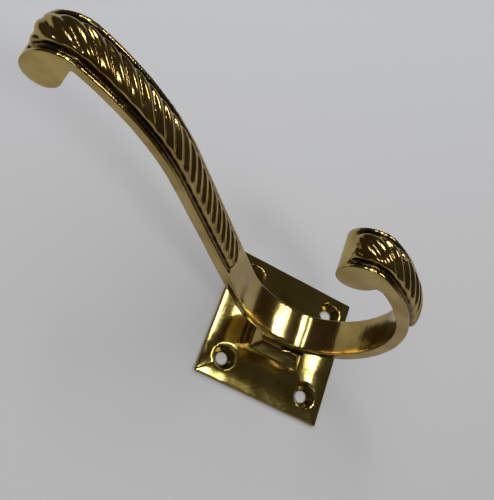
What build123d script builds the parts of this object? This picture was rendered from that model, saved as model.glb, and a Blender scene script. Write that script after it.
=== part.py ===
from build123d import *
import math
import os

# Hat and coat hook in solid cast brass, millimetres and degrees.
# Z is up the wall, the wall is the plane Y = 0 and the hook stands out towards -Y.
# X is the width of the strap. The origin is the middle of the back of the backplate.

# backplate: a square casting with four hollow slopes mitred on the diagonals
plate_size = 38.0
rim_height = 1.3
plate_height = 3.6
land_size = 16.4
slope_hollow = 0.5
hole_spacing = 25.4
hole_r = 1.6
sink_r = 3.3
sink_floor = 0.35

# strap: a flat bar bent in smooth arcs
strap_width = 10.0
root_reach = 12.2

# hat arm: leans out, runs straight, then rises again to a bulb
hat_reach = 78.9
arm_thick = 2.3
hat_root_r = 24.4
hat_lean = 50.4
hat_sweep_r = 64.8
hat_tip_lean = 21.2
hat_tip_r = 7.5
hat_bulb_r = 4.15
hat_crease = 0.6

# coat hook: the inside of the curl, then the outside, which leaves it thicker to the front
coat_thick = 3.0
coat_root_r = 8.0
coat_root_turn = 39.0
coat_floor_r = 20.0
coat_floor_turn = 34.0
coat_inside_r = 31.5
coat_inside_turn = 77.0
coat_under_turn = 38.0
coat_outside_r = 36.7
coat_outside_turn = 78.0
coat_tip_r = 6.1
coat_bulb_r = 4.8

# foot: the flared block under the root of the strap, which stands on the backplate
foot_wide = 15.4
foot_waist = 11.2
foot_flare = 3.0
foot_hollow = 0.4

# rope moulding: a shallow channel in the outer face of the strap,
# filled with round strands that cross it aslant and have chamfered ends
channel_half = 3.6
channel_deep = 0.5
channel_spare = 1.0
strand_pitch = 3.4
strand_turn = 45.0
strand_r = 1.4
strand_lift = 0.35
strand_sink = 0.25
strand_half = 3.3
strand_end_lean = 30.0
strand_end_turn = 10.0
rope_high = 1.8
rope_end = 3.0
hat_rope_low = 37.5
hat_rope_top = 8.5
coat_rope_low = 50.0
coat_rope_top = 5.0

# machine screw from behind the backplate into the foot
screw_r = 2.5
screw_head_r = 4.6
screw_sunk = 0.2
screw_end = 9.6
slot_width = 1.2
slot_depth = 1.0
screw_clear = 0.1
thread_clear = 0.05
tap_end = 10.2

up = Vector(0, 1)
down = Vector(0, -1)
front_root = Vector(-root_reach, 0)
hat_back_root = Vector(arm_thick - root_reach, 0)
coat_back_root = Vector(coat_thick - root_reach, 0)


def sine(angle):
    return math.sin(math.radians(angle))


def cosine(angle):
    return math.cos(math.radians(angle))


def bend(start, tangent, arcs):
    # arcs and straights joined without a corner: (radius, turn), or (0, length) for a straight
    made = []
    for radius, amount in arcs:
        if radius == 0:
            made.append(Line(start, start + tangent * amount))
        else:
            made.append(JernArc(start=start, tangent=tangent, radius=radius, arc_size=amount))
        start, tangent = made[-1] @ 1, made[-1] % 1
    return made


def inset(arcs, depth):
    # the same bends, followed by a line that lies deeper in the bar
    return [(r and r + math.copysign(1, turn) * depth, turn) for r, turn in arcs]


def stretch(start, tangent, arcs, low, top):
    # the part of a path that begins low after its start and stops top before its end
    with BuildLine():
        lengths = [piece.length for piece in bend(start, tangent, arcs)]
    arcs = list(arcs)
    while top > lengths[-1]:
        top -= lengths.pop()
        arcs.pop()
    share = 1 - top / lengths[-1]
    arcs[-1] = (arcs[-1][0], arcs[-1][1] * share)
    lengths[-1] *= share
    k = 0
    while low > lengths[k]:
        low -= lengths[k]
        k += 1
    share = low / lengths[k]
    with BuildLine():
        skipped = bend(start, tangent, [*arcs[:k], (arcs[k][0], arcs[k][1] * share)])
    return skipped[-1] @ 1, skipped[-1] % 1, [(arcs[k][0], arcs[k][1] * (1 - share)), *arcs[k + 1:]]


# front of the hat arm, from the root to the top of the bulb
curves_reach = hat_root_r * (1 - cosine(hat_lean))
curves_reach += hat_sweep_r * (cosine(hat_tip_lean) - cosine(hat_lean))
curves_reach += hat_tip_r * (1 - cosine(hat_tip_lean))
hat_run = (hat_reach - root_reach - curves_reach) / sine(hat_lean)
hat_front_arcs = [
    (hat_root_r, hat_lean),
    (0, hat_run),
    (hat_sweep_r, hat_tip_lean - hat_lean),
    (hat_tip_r, -90 - hat_tip_lean),
]

# outside of the coat hook, from the root to the top of the curl
coat_tip_turn = 270 - coat_root_turn - coat_under_turn - coat_outside_turn
coat_back_arcs = [
    (coat_root_r + coat_thick, -coat_root_turn),
    (coat_floor_r + coat_thick, -coat_under_turn),
    (coat_outside_r, -coat_outside_turn),
    (coat_tip_r, -coat_tip_turn),
]
coat_front_arcs = [
    (coat_root_r, -coat_root_turn),
    (coat_floor_r, -coat_floor_turn),
    (coat_inside_r, -coat_inside_turn),
]

hat_path = (front_root, up, hat_front_arcs)
coat_path = (coat_back_root, down, coat_back_arcs)

# backplate, hollow slopes on all four sides
half_plate = plate_size / 2
half_land = land_size / 2

with BuildSketch() as slopes:
    with BuildLine():
        Polyline(
            (-half_plate, -rim_height), (-half_plate, 0), (half_plate, 0), (half_plate, -rim_height)
        )
        SagittaArc((half_plate, -rim_height), (half_land, -plate_height), slope_hollow)
        Line((half_land, -plate_height), (-half_land, -plate_height))
        SagittaArc((-half_land, -plate_height), (-half_plate, -rim_height), slope_hollow)
    make_face()

with BuildPart() as backplate:
    with BuildSketch(Plane.XY):
        add(slopes.sketch)
    extrude(amount=half_plate, both=True)
    with BuildSketch(Plane((0, 0, 0), x_dir=(0, 0, 1), z_dir=(-1, 0, 0))):
        add(slopes.sketch)
    extrude(amount=half_plate, both=True, mode=Mode.INTERSECT)
    # four countersunk holes for the wood screws, on the diagonals
    with Locations(Plane.XZ.offset(sink_floor + sink_r - hole_r)):
        with GridLocations(hole_spacing, hole_spacing, 2, 2):
            CounterSinkHole(hole_r, sink_r, plate_height, 90)
    # countersunk from behind for the machine screw
    with Locations(Plane((0, -screw_sunk, 0), x_dir=(1, 0, 0), z_dir=(0, 1, 0))):
        CounterSinkHole(screw_r + screw_clear, screw_head_r, plate_height, 90)

# one strand of the rope: x across the strap, y along it and z out of its face
strand_top = strand_lift + strand_r
foot_half = strand_half + strand_r * sine(strand_end_lean)
crown_half = strand_half - strand_top * sine(strand_end_lean)
ends = Plane.XZ.rotated((0, 0, strand_end_turn))
with BuildPart() as strand:
    with BuildSketch(ends):
        Polygon(
            (-foot_half, -strand_r),
            (foot_half, -strand_r),
            (crown_half, strand_top),
            (-crown_half, strand_top),
            align=None,
        )
    extrude(amount=2 * strand_half, both=True)
    with BuildSketch(Plane((0, 0, strand_lift), z_dir=(cosine(strand_turn), sine(strand_turn), 0))):
        Circle(strand_r)
    extrude(amount=2 * strand_half, both=True, mode=Mode.INTERSECT)


def strand_places(path, low, top):
    # planes along a path at equal steps; on a bend each strand is sunk until its ends meet
    # the face, and turned squarer across the strap where it would have to sink too far
    start, tangent, arcs = stretch(*path, low, top)
    with BuildLine():
        pieces = bend(start, tangent, arcs)
    lengths = [piece.length for piece in pieces]
    steps = round(sum(lengths) / strand_pitch)
    places = []
    for i in range(steps + 1):
        along = sum(lengths) * i / steps
        k = 0
        while along > lengths[k] and k < len(lengths) - 1:
            along -= lengths[k]
            k += 1
        share = min(along / lengths[k], 1)
        at, way = pieces[k] @ share, pieces[k] % share
        radius = arcs[k][0] or math.inf
        steepest = math.degrees(math.atan(math.sqrt(2 * radius * strand_sink) / strand_half))
        turn = min(strand_turn, steepest)
        sag = (strand_half * math.tan(math.radians(turn))) ** 2 / (2 * radius)
        normal = Vector(0, -way.Y, way.X)
        flat = Plane(Vector(0, at.X, at.Y) - normal * sag, x_dir=(1, 0, 0), z_dir=normal)
        places.append(flat.rotated((0, 0, turn - strand_turn)))
    return places


def band(path, low, top, height, depth):
    # outline of a layer of the strap, from depth below its outer face to height above it
    start, tangent, arcs = stretch(*path, low, top)
    inward = Vector(tangent.Y, -tangent.X)
    with BuildSketch() as outline:
        with BuildLine():
            above = bend(start - inward * height, tangent, inset(arcs, -height))
            below = bend(start + inward * depth, tangent, inset(arcs, depth))
            Line(above[0] @ 0, below[0] @ 0)
            Line(above[-1] @ 1, below[-1] @ 1)
        make_face()
    return outline.sketch


def rope(path, low, top):
    with BuildPart() as strands:
        add([place * strand.part for place in strand_places(path, low, top)])
        with BuildSketch(Plane.YZ):
            add(band(path, low - rope_end, top - rope_end, rope_high, strand_r))
        extrude(amount=2 * strand_half, both=True, mode=Mode.INTERSECT)
    return strands.part


ropes_along = [(hat_path, hat_rope_low, hat_rope_top), (coat_path, coat_rope_low, coat_rope_top)]
ropes = [rope(*place) for place in ropes_along]

# the plain body of the hook
with BuildPart() as body:
    with BuildSketch(Plane.YZ):
        with BuildLine():
            front = bend(*hat_path)
            tip_top = front[-1] @ 1
            back = bend(hat_back_root, up, inset(hat_front_arcs[:3], arm_thick))
            crease = back[-1] @ 1 + (back[-1] % 1) * hat_crease
            Polyline(tip_top, tip_top + down * 2 * hat_bulb_r, crease, back[-1] @ 1)
            Line(hat_back_root, coat_back_root)
            under = bend(*coat_path)
            curl_top = under[-1] @ 1
            inner = bend(front_root, down, coat_front_arcs)
            Polyline(curl_top, curl_top + down * coat_bulb_r, inner[-1] @ 1)
        make_face()
        with Locations(tip_top + down * hat_bulb_r):
            Circle(hat_bulb_r)
        with Locations(curl_top + down * coat_bulb_r):
            Circle(coat_bulb_r)
    extrude(amount=strap_width / 2, both=True)
    # channels for the rope
    for path, low, top in ropes_along:
        with BuildSketch(Plane.YZ):
            add(band(path, low - channel_spare, top - channel_spare, 0, channel_deep))
        extrude(amount=channel_half, both=True, mode=Mode.SUBTRACT)
    # foot: a square flare, then a stem that spreads into the back of the strap
    flare_angle = math.degrees(math.atan((foot_wide - foot_waist) / 2 / foot_flare))
    with BuildSketch(Plane.XZ.offset(plate_height)):
        Rectangle(foot_wide, foot_wide)
    extrude(amount=foot_flare, taper=flare_angle)
    stem_low = -plate_height - foot_flare
    with BuildSketch(Plane.YZ):
        with BuildLine():
            Line((stem_low, -foot_waist / 2), (stem_low, foot_waist / 2))
            SagittaArc((stem_low, foot_waist / 2), back[0] @ 0.35, -foot_hollow)
            Line(back[0] @ 0.35, under[0] @ 1)
            SagittaArc(under[0] @ 1, (stem_low, -foot_waist / 2), -foot_hollow)
        make_face()
    extrude(amount=strap_width / 2, both=True)
    # blind tapped hole for the machine screw
    with BuildSketch(Plane.XZ):
        Circle(screw_r + thread_clear)
    extrude(amount=tap_end, mode=Mode.SUBTRACT)

# hook: one casting, with rope on the front of the hat arm and on the outside of the coat hook
with BuildPart() as hook:
    add(body.part)
    add(ropes)

# slotted countersunk machine screw that ties the two castings together
cone_end = screw_sunk + screw_head_r - screw_r
with BuildPart() as fixing_screw:
    with BuildSketch(Plane.XY):
        with BuildLine():
            Polyline(
                (0, -screw_sunk),
                (screw_head_r, -screw_sunk),
                (screw_r, -cone_end),
                (screw_r, -screw_end + 0.5),
                (screw_r - 0.5, -screw_end),
                (0, -screw_end),
                close=True,
            )
        make_face()
    revolve(axis=Axis.Y)
    with BuildSketch(Plane((0, -screw_sunk, 0), x_dir=(1, 0, 0), z_dir=(0, 1, 0))):
        Rectangle(2 * screw_head_r + 1, slot_width)
    extrude(amount=-slot_depth, mode=Mode.SUBTRACT)

os.makedirs("parts", exist_ok=True)
backplate.part.label = "backplate"
hook.part.label = "hook"
fixing_screw.part.label = "fixing_screw"
export_step(backplate.part, "parts/backplate.step")
export_step(hook.part, "parts/hook.step")
export_step(fixing_screw.part, "parts/fixing_screw.step")
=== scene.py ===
import math
import bmesh
import bpy
from mathutils import Matrix, Vector


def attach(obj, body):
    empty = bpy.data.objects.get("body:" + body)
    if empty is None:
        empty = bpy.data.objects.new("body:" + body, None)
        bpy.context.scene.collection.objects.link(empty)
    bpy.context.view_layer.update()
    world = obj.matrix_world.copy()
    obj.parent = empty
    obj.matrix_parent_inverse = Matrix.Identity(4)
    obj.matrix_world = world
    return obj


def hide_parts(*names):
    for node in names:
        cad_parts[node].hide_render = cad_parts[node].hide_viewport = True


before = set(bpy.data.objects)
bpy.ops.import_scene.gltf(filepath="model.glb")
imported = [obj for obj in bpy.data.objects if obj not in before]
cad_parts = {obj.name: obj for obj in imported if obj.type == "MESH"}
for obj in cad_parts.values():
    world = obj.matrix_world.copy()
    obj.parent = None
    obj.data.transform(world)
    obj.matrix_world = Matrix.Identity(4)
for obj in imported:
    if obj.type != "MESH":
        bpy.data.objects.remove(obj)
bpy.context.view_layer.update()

# A hat and coat hook in solid polished brass, lying on its back on a pale table.
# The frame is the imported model's: +Z up the wall, the back of the plate on Y = 0 and the hook
# standing out towards -Y. Blender works in metres. The object's sizes are in mm and become
# metres with MM. The table's size and the lights' sizes and distances are in metres.

MM = 0.001


# scene helpers
def added(name, data):
    # a new object in the scene
    made = bpy.data.objects.new(name, data)
    bpy.context.scene.collection.objects.link(made)
    return made


def deselect():
    if bpy.context.object and bpy.context.object.mode != "OBJECT":
        bpy.ops.object.mode_set(mode="OBJECT")
    bpy.ops.object.select_all(action="DESELECT")


def select(piece):
    # piece as the only selected object and the active one
    deselect()
    piece.select_set(True)
    bpy.context.view_layer.objects.active = piece


def modify(piece, kind, **settings):
    # adds a modifier and applies it at once
    select(piece)
    bpy.ops.object.modifier_add(type=kind)
    modifier = piece.modifiers[-1]
    for name, value in settings.items():
        setattr(modifier, name, value)
    bpy.ops.object.modifier_apply(modifier=modifier.name)


# camera: beside the hat arm and looking down on the hook, as the photograph was taken; its
# place, turn and lens were fitted to the corners of the plate and the edges of the strap
camera_place = Vector((-77.872, -190.542, 70.847)) * MM
camera_right = Vector((0.317455, -0.406768, -0.856599))
camera_down = Vector((-0.838125, 0.302204, -0.454114))
camera_forward = Vector((0.443587, 0.862098, -0.244986))
camera_data = bpy.data.cameras.new("camera")
camera_data.sensor_width = 36.0
camera_data.lens = 55.24
camera_data.clip_start = 0.005
camera = added("camera", camera_data)
camera_turn = Matrix((camera_right, -camera_down, -camera_forward)).transposed()
camera.matrix_world = Matrix.Translation(camera_place) @ camera_turn.to_4x4()
bpy.context.scene.camera = camera


# shader helpers
def linear(colour):
    # sRGB hex to the linear values that the shaders take
    channels = []
    for i in (1, 3, 5):
        value = int(colour[i:i + 2], 16) / 255
        channels.append(value / 12.92 if value <= 0.04045 else ((value + 0.055) / 1.055) ** 2.4)
    return (*channels, 1.0)


def node(tree, kind, links=(), settings=(), **inputs):
    # a new node: links are (source, its socket, own socket) and an input's name has _ for a space
    made = tree.nodes.new(kind)
    for name, value in settings:
        setattr(made, name, value)
    for name, value in inputs.items():
        made.inputs[name.replace("_", " ")].default_value = value
    for source, socket, target in links:
        tree.links.new(source.outputs[socket], made.inputs[target])
    return made


def maths(tree, operation, *sources):
    # one calculation on the outputs of other nodes
    links = [(source, socket, i) for i, (source, socket) in enumerate(sources)]
    return node(tree, "ShaderNodeMath", links, [("operation", operation)])


def noise(tree, place, size, detail=2.0):
    # soft mottling whose patches are that many mm across
    links = [(place, "Object", "Vector")]
    return node(tree, "ShaderNodeTexNoise", links, Scale=1 / (size * MM), Detail=detail)


def ramp(tree, source, socket, low, high, at_low, at_high):
    # even change from at_low at low to at_high at high, held beyond them
    links = [(source, socket, "Value")]
    return node(
        tree, "ShaderNodeMapRange", links,
        From_Min=low, From_Max=high, To_Min=at_low, To_Max=at_high,
    )


def mixed(tree, factor, a, b):
    # colour a where factor is 0, colour b where it is 1; either may be a hex value or a Mix node
    made = node(tree, "ShaderNodeMix", [(factor, 0, 0)], [("data_type", "RGBA")])
    for socket, colour in ((6, a), (7, b)):
        if isinstance(colour, str):
            made.inputs[socket].default_value = linear(colour)
        else:
            tree.links.new(colour.outputs[2], made.inputs[socket])
    return made


# finishes
patch_size = 7.0
grain_size = 0.6
grain_depth = 0.1
grain_strength = 0.02
grain_dulls = 0.06
# openness, from 0 in a hole to 1 in the open, below which brass takes the full painted shade and
# tarnish and above which none
full_shade_below = 0.52
no_shade_above = 0.9


def brass(name, bright, warm, shade_and_tarnish, gloss, shade_and_tarnish_reach, own_shade):
    # cast brass, filed and buffed: a mirror on the open faces, mottled from bright to warm where
    # the lacquer has yellowed, and darker and duller in recesses found within the given reach in
    # mm, which is painted shade as well as tarnish where the buffing wheel doesn't reach;
    # own_shade leaves out other pieces
    made = bpy.data.materials.new(name)
    made.use_nodes = True
    tree = made.node_tree
    shader = tree.nodes["Principled BSDF"]
    shader.inputs["Metallic"].default_value = 1.0
    place = node(tree, "ShaderNodeTexCoord")

    # painted shade: the AO finds the recesses; without own_shade it also finds nearby pieces, so
    # a piece is painted darker where another stands on it
    openness = node(
        tree, "ShaderNodeAmbientOcclusion",
        settings=[("samples", 8), ("only_local", own_shade)], Distance=shade_and_tarnish_reach * MM,
    )
    recess = ramp(tree, openness, "AO", full_shade_below, no_shade_above, 1.0, 0.0)
    # faces towards the wall get no painted shade or tarnish: the plate's back lies on the table,
    # and that isn't a recess of the casting
    surface = node(tree, "ShaderNodeNewGeometry")
    facing = node(tree, "ShaderNodeSeparateXYZ", [(surface, "Normal", 0)])
    off_wall = ramp(tree, facing, "Y", 0.7, 0.9, 1.0, 0.0)
    # mask of the painted shade, and of tarnish, in recesses
    shade_and_tarnish_mask = maths(tree, "MULTIPLY", (recess, 0), (off_wall, 0))

    patches = ramp(tree, noise(tree, place, patch_size), "Fac", 0.35, 0.65, 0.0, 1.0)
    # the third colour paints the recesses dark: painted shade, partly tarnish
    metal = mixed(tree, shade_and_tarnish_mask, mixed(tree, patches, bright, warm), shade_and_tarnish)
    tree.links.new(metal.outputs[2], shader.inputs["Base Color"])

    # buffing marks and the grain of the casting
    grain = noise(tree, place, grain_size, detail=4.0)
    dull = ramp(tree, grain, "Fac", 0.3, 0.7, gloss, gloss + grain_dulls)
    rough = maths(tree, "MULTIPLY_ADD", (dull, 0), (shade_and_tarnish_mask, 0), (dull, 0))
    tree.links.new(rough.outputs[0], shader.inputs["Roughness"])
    bump = node(
        tree, "ShaderNodeBump", [(grain, "Fac", "Height")],
        Strength=grain_strength, Distance=grain_depth * MM,
    )
    tree.links.new(bump.outputs["Normal"], shader.inputs["Normal"])
    return made


# the third colour is the painted shade and tarnish of recesses; the plate's also takes in the
# hook, so the plate is painted darker round the hook's foot
hook_brass = brass("buffed_cast_brass", "#BCA565", "#9F854A", "#241807", 0.11, 3.0, True)
plate_brass = brass("buffed_plate_brass", "#CBBB70", "#B39C50", "#2C2009", 0.09, 4.5, False)
screw_brass = brass("turned_brass", "#CDB373", "#BFA262", "#4A3515", 0.16, 1.5, True)


# the outer face of each arm, as the solid has it: start and heading in the plane of the strap,
# in mm and degrees, then arcs of a radius and a turn, or a straight of radius 0 and a length
hat_face = ((-12.2, 0.0), 90.0, ((24.4, 50.4), (0, 49.62), (64.8, -29.2), (7.5, -111.2)))
coat_face = ((-9.2, 0.0), -90.0, ((11.0, -39.0), (23.0, -38.0), (36.7, -78.0), (6.1, -115.0)))

# rope moulding, in mm: where it starts along each face and how far before the end it stops
arms = {
    "hat": (hat_face, 36.0, 3.5),
    "coat": (coat_face, 48.0, 3.0),
}
rope_half = 3.15
rope_rise = 1.8
rope_sunk = 0.9
rope_taper = 1.6
least_taper = 0.02
strand_step = 3.8
# how far a strand runs on from the middle to an edge, and the share by which it bows further
strand_slant = 3.0
strand_bow = 0.25
# the share of the rise and of the width that is left in the valleys between strands
valley_rise = 0.36
valley_width = 0.97
# powers below 1, which make the rope's back and each strand fuller than a plain round
back_power = 0.6
strand_power = 0.4

# channel that the rope lies in: wider than the rope on each side, and longer at each end
channel_half = rope_half + 0.85
channel_spare = 0.5
channel_depth = 0.6
channel_cutter_rise = 0.4

# what is cut off each face first: wider than the strap and higher than the solid's strands
cleared_half = 5.5
cleared_rise = 2.4


# shapes along a face
def along(face, steps_per_mm):
    # points at equal steps along a face, as y, z and the heading in radians
    (y, z), heading, arcs = face
    heading = math.radians(heading)
    found = []
    for radius, amount in arcs:
        length = amount if radius == 0 else radius * math.radians(abs(amount))
        count = max(2, round(length * steps_per_mm))
        step = length / count
        turn = 0 if radius == 0 else math.radians(amount) / count
        for i in range(count):
            found.append((y, z, heading))
            y += step * math.cos(heading + turn / 2)
            z += step * math.sin(heading + turn / 2)
            heading += turn
    found.append((y, z, heading))
    return found


def off_face(point, x, rise):
    # the place that is x across the strap and rise out of the face at that point
    y, z, heading = point
    return Vector((x, y - rise * math.sin(heading), z + rise * math.cos(heading))) * MM


def built(name, mesh):
    # an object of that bmesh, with its faces turned outwards
    bmesh.ops.recalc_face_normals(mesh, faces=mesh.faces)
    data = bpy.data.meshes.new(name)
    mesh.to_mesh(data)
    mesh.free()
    return added(name, data)


def slab(name, face, half, below, above, low=0, top=0):
    # a bar on a face, from below it to above it, without the first low and the last top mm
    steps_per_mm = 2
    path = along(face, steps_per_mm)
    path = path[round(low * steps_per_mm):len(path) - round(top * steps_per_mm)]
    mesh = bmesh.new()
    under = [mesh.verts.new(off_face(point, -half, below)) for point in path]
    over = [mesh.verts.new(off_face(point, -half, above)) for point in path]
    side = []
    for i in range(len(path) - 1):
        side.append(mesh.faces.new((under[i], under[i + 1], over[i + 1], over[i])))
    grown = bmesh.ops.extrude_face_region(mesh, geom=side)["geom"]
    moved = [part for part in grown if isinstance(part, bmesh.types.BMVert)]
    bmesh.ops.translate(mesh, verts=moved, vec=(2 * half * MM, 0, 0))
    return built(name, mesh)


def rope(name, face, low, top):
    # a half-round rope, whose strands are ridges that run aslant and bow as a twisted rope's do
    steps_per_mm = 6
    steps_across = 28
    path = along(face, steps_per_mm)
    end = (len(path) - 1) / steps_per_mm - top
    mesh = bmesh.new()
    rows = []
    for i, point in enumerate(path):
        s = i / steps_per_mm
        if s < low or s > end:
            continue
        taper = min(1.0, (s - low) / rope_taper, (end - s) / rope_taper)
        taper = math.sqrt(max(least_taper, taper * (2 - taper)))
        row = []
        for k in range(steps_across + 1):
            across = math.cos(math.pi * k / steps_across)
            dome = math.sin(math.pi * k / steps_across) ** back_power
            slant = strand_slant * across * (1 + strand_bow * across * across)
            crest = abs(math.cos(math.pi * (s - slant) / strand_step)) ** strand_power
            rise = rope_rise * dome * taper * (valley_rise + (1 - valley_rise) * crest)
            x = rope_half * across * (valley_width + (1 - valley_width) * crest)
            row.append(mesh.verts.new(off_face(point, x, rise)))
        for x in (-rope_half, rope_half):
            row.append(mesh.verts.new(off_face(point, x, -rope_sunk)))
        rows.append(row)
    for a, b in zip(rows, rows[1:]):
        for k in range(len(a)):
            # from corner k back to the one before it, round both rows
            mesh.faces.new((a[k - 1], a[k], b[k], b[k - 1]))
    mesh.faces.new(rows[0])
    mesh.faces.new(rows[-1][::-1])
    return built(name, mesh)


# castings
swell_size = 7.0


def loose_copy(name):
    # the solid's own mesh with its facets joined
    piece = added(name + "_casting", bpy.data.objects[name].data.copy())
    select(piece)
    bpy.ops.object.mode_set(mode="EDIT")
    bpy.ops.mesh.select_all(action="SELECT")
    bpy.ops.mesh.remove_doubles(threshold=0.001 * MM)
    bpy.ops.object.mode_set(mode="OBJECT")
    return piece


def cut(piece, cutter):
    modify(piece, "BOOLEAN", operation="DIFFERENCE", solver="EXACT", object=cutter)
    bpy.data.objects.remove(cutter, do_unlink=True)


def add_on(piece, other):
    # joins the meshes, whose overlapping shells become one skin when the casting is remeshed
    select(piece)
    other.select_set(True)
    bpy.ops.object.join()


def cast(piece, name, finish, grid, rounds, wave):
    # one skin on a grid of that many mm, its edges softened by rounds of buffing and its faces
    # left uneven by up to wave mm
    modify(piece, "REMESH", mode="VOXEL", voxel_size=grid * MM)
    modify(piece, "SMOOTH", factor=0.5, iterations=rounds)
    swell = bpy.data.textures.new(name + "_swell", "CLOUDS")
    swell.noise_scale = swell_size * MM
    swell.noise_depth = 1
    modify(
        piece, "DISPLACE",
        texture=swell, texture_coords="LOCAL", mid_level=1.0, strength=wave * MM,
    )
    bpy.ops.object.shade_smooth()
    piece.data.materials.clear()
    piece.data.materials.append(finish)
    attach(piece, "root")
    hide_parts(name)


hook = loose_copy("hook")
for arm, (face, low, top) in arms.items():
    cut(hook, slab(arm + "_strands", face, cleared_half, 0.0, cleared_rise))
for arm, (face, low, top) in arms.items():
    ends = (low - channel_spare, top - channel_spare)
    rises = (-channel_depth, channel_cutter_rise)
    cut(hook, slab(arm + "_channel", face, channel_half, *rises, *ends))
for arm, (face, low, top) in arms.items():
    add_on(hook, rope(arm + "_rope", face, low, top))
cast(hook, "hook", hook_brass, grid=0.29, rounds=4, wave=0.14)

backplate = loose_copy("backplate")
cast(backplate, "backplate", plate_brass, grid=0.22, rounds=6, wave=0.12)

for slot in bpy.data.objects["fixing_screw"].material_slots:
    slot.material = screw_brass


# table
table_size = 4.0
table_gap = 0.3
# rays from the back of the plate reach the table within this many mm
back_reach = 1.2
# the way to the window in the table's own plane, and where the painted pool of window light
# starts and ends along it
to_window = (0.88, 0.476, 0.0)
painted_light_from = -60
painted_light_to = 110


def pale_card():
    # matt card, painted lighter and cooler towards the window as a painted pool of its light; it
    # lets through what comes from below and what starts at the back of the plate, which would be
    # black without that
    made = bpy.data.materials.new("matt_pale_card")
    made.use_nodes = True
    tree = made.node_tree
    shader = tree.nodes["Principled BSDF"]
    shader.inputs["Roughness"].default_value = 0.9
    place = node(tree, "ShaderNodeTexCoord")
    towards = node(
        tree, "ShaderNodeVectorMath", [(place, "Object", 0)], [("operation", "DOT_PRODUCT")],
    )
    towards.inputs[1].default_value = to_window
    # painted light: the card's colour is painted lighter and cooler towards the window
    painted_light = ramp(tree, towards, "Value", painted_light_from * MM, painted_light_to * MM, 0.0, 1.0)
    painted_light_tint = mixed(tree, painted_light, "#C5C5C6", "#D3D5D9")
    tree.links.new(painted_light_tint.outputs[2], shader.inputs["Base Color"])

    side = node(tree, "ShaderNodeNewGeometry")
    path = node(tree, "ShaderNodeLightPath")
    near = maths(tree, "LESS_THAN", (path, "Ray Length"))
    near.inputs[1].default_value = back_reach * MM
    passing = maths(tree, "MAXIMUM", (side, "Backfacing"), (near, 0))
    clear = node(tree, "ShaderNodeBsdfTransparent")
    links = [(passing, 0, 0), (shader, 0, 1), (clear, 0, 2)]
    card = node(tree, "ShaderNodeMixShader", links)
    tree.links.new(card.outputs[0], tree.nodes["Material Output"].inputs["Surface"])
    return made


deselect()
bpy.ops.mesh.primitive_plane_add(
    size=table_size, location=(0, table_gap * MM, 0), rotation=(math.pi / 2, 0, 0),
)
table = bpy.context.object
table.name = "table"
table.data.materials.append(pale_card())


# light: a dim warm room, a soft ceiling, and small bright panes that the brass reflects
world = bpy.data.worlds.new("room")
bpy.context.scene.world = world
world.use_nodes = True
room = world.node_tree.nodes["Background"]
room.inputs["Color"].default_value = linear("#B8AA98")
room.inputs["Strength"].default_value = 0.10

# the middle of the hook, which every light faces
aim = Vector((0, -0.03, 0.02))


def softbox(name, way, distance, size, power):
    # an area light that far from the hook in direction way
    data = bpy.data.lights.new(name, "AREA")
    data.shape = "RECTANGLE"
    data.size, data.size_y = size
    data.energy = power
    made = added(name, data)
    made.location = aim + Vector(way).normalized() * distance
    made.rotation_euler = (aim - made.location).to_track_quat("-Z", "Y").to_euler()
    return made


# seen in the brass only: on the table they would cast a shadow that the photograph hasn't got
window = softbox("window", (0.37, -0.92, 0.07), 1.2, (0.42, 0.3), 3.6)
window.visible_diffuse = False
lamp = softbox("lamp", (0.38, -0.68, -0.62), 1.3, (0.12, 0.3), 1.6)
lamp.visible_diffuse = False
# lights the table, but isn't seen in the brass
ceiling = softbox("ceiling", (0.1, -1.0, 0.1), 1.5, (2.2, 2.2), 24.0)
ceiling.visible_glossy = False
softbox("pane", (0.36, -0.84, 0.41), 1.2, (0.34, 0.07), 0.9)
softbox("far_window", (-0.43, -0.89, -0.16), 1.4, (0.2, 0.34), 2.2)
# behind the table, which hides it from the hook's front: it lights the back of the plate
softbox("under_light", (-0.6, 1.0, 0.3), 1.2, (1.4, 1.0), 14)

bpy.context.scene.view_settings.view_transform = "Standard"
